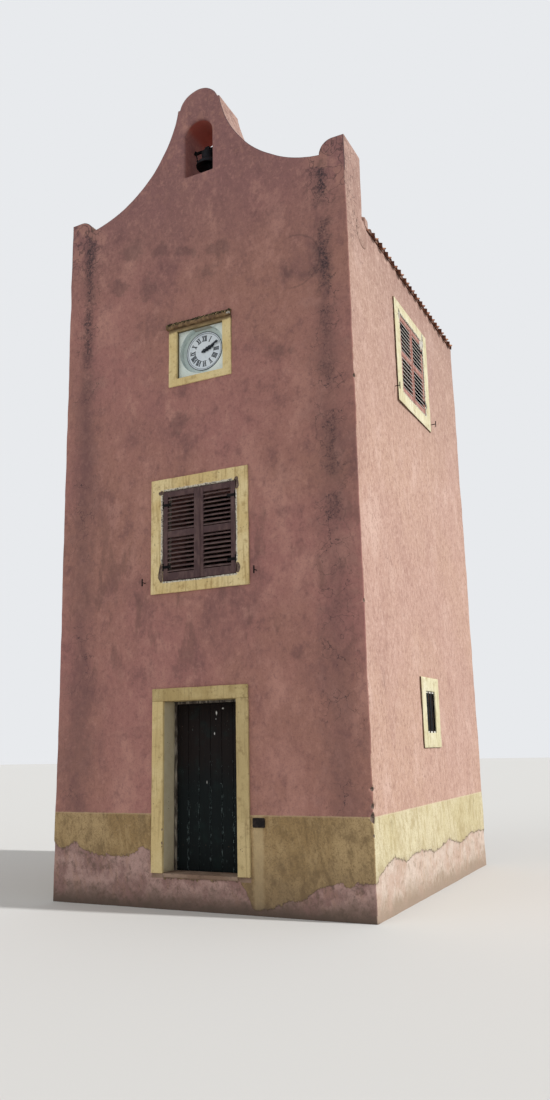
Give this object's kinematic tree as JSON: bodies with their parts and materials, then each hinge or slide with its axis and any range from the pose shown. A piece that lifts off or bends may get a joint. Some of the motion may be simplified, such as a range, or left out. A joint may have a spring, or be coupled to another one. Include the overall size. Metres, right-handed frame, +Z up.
{
  "type": "clock tower with a bell gable",
  "caption": "Free-standing masonry clock tower: rendered walls, curved bell gable, clock dial, shuttered windows, double door and tiled roof",
  "frame": {"origin": "middle of the footprint, on the lowest ground that the walls reach", "axes": "+Z up; the front with the door and the clock faces -Y; +X is to the right seen from the front"},
  "size_m": [4.446, 4.946, 10.8928],
  "materials": {
    "plaster": "old lime render, pink wash, rough",
    "trim_paint": "stone painted ochre, worn",
    "floor_stone": "flagstones, worn",
    "floor_boards": "old pine, bare",
    "door_paint": "dark green paint, flaking",
    "shutter_paint": "dark red-brown paint, worn",
    "window_glass": "old dark pane",
    "ironwork": "rusted wrought iron",
    "black_iron": "black paint, dull",
    "bell_bronze": "bronze, dark with age",
    "dial_enamel": "white glazed board, weathered",
    "roof_clay": "clay barrel tiles, lichen",
    "roof_mortar": "lime mortar, rough"
  },
  "bodies": {
    "tower": {"front_wall_left": "plaster", "front_wall_right": "plaster", "front_wall_upper": "plaster", "bell_gable": "plaster", "right_wall": "plaster", "left_wall": "plaster", "rear_wall": "plaster", "ground_floor": "floor_stone", "first_floor": "floor_boards", "second_floor": "floor_boards", "door_threshold": "trim_paint", "door_jamb_left": "trim_paint", "door_jamb_right": "trim_paint", "door_lintel": "trim_paint", "door_frame": "door_paint", "right_small_window_surround": "trim_paint", "left_small_window_surround": "trim_paint", "small_window_casements": "trim_paint", "small_window_glass": "window_glass", "small_window_bars": "ironwork", "clock_surround": "trim_paint", "clock_hood": "trim_paint", "clock_board": "dial_enamel", "clock_dial": "dial_enamel", "bell": "bell_bronze", "bell_crossbar": "black_iron", "ridge_beam": "floor_boards", "roof_deck_right": "floor_boards", "roof_deck_left": "floor_boards", "roof_tiles_right": "roof_clay", "roof_tiles_left": "roof_clay", "roof_flashing": "roof_mortar", "ridge_tiles": "roof_clay", "wall_plate": "black_iron", "shutter_dogs": "ironwork", "front_window_surround": "trim_paint", "front_shutter_left": "shutter_paint", "front_shutter_right": "shutter_paint", "rear_window_surround": "trim_paint", "rear_shutter_left": "shutter_paint", "rear_shutter_right": "shutter_paint", "right_window_surround": "trim_paint", "right_shutter_left": "shutter_paint", "right_shutter_right": "shutter_paint", "left_window_surround": "trim_paint", "left_shutter_left": "shutter_paint", "left_shutter_right": "shutter_paint"},
    "door_left": {"door_leaf_left": "door_paint"},
    "door_right": {"door_leaf_right": "door_paint"},
    "minute_hand": {"minute_hand": "black_iron"},
    "hour_hand": {"hour_hand": "black_iron"},
    "bell_hammer": {"bell_hammer": "black_iron"}
  },
  "joints": [
    {"name": "door_left_hinge", "type": "hinge", "parent": "tower", "child": "door_left", "pos_m": [-0.47, -2.073, 1.4], "axis": [0, 0, 1], "range_deg": [0, 90]},
    {"name": "door_right_hinge", "type": "hinge", "parent": "tower", "child": "door_right", "pos_m": [0.47, -2.073, 1.4], "axis": [0, 0, -1], "range_deg": [0, 90]},
    {"name": "minute_hand_turn", "type": "hinge", "parent": "tower", "child": "minute_hand", "pos_m": [0.02, -2.28, 6.947], "axis": [0, 1, 0], "continuous": true},
    {"name": "hour_hand_turn", "type": "hinge", "parent": "tower", "child": "hour_hand", "pos_m": [0.02, -2.28, 6.947], "axis": [0, 1, 0], "continuous": true},
    {"name": "bell_hammer_swing", "type": "hinge", "parent": "tower", "child": "bell_hammer", "pos_m": [-0.18, -2.16, 10.088], "axis": [0, -1, 0], "range_deg": [0, 16]}
  ],
  "couplings": [
    {"joint": "hour_hand_turn", "follows": "minute_hand_turn", "ratio": 0.083333}
  ]
}
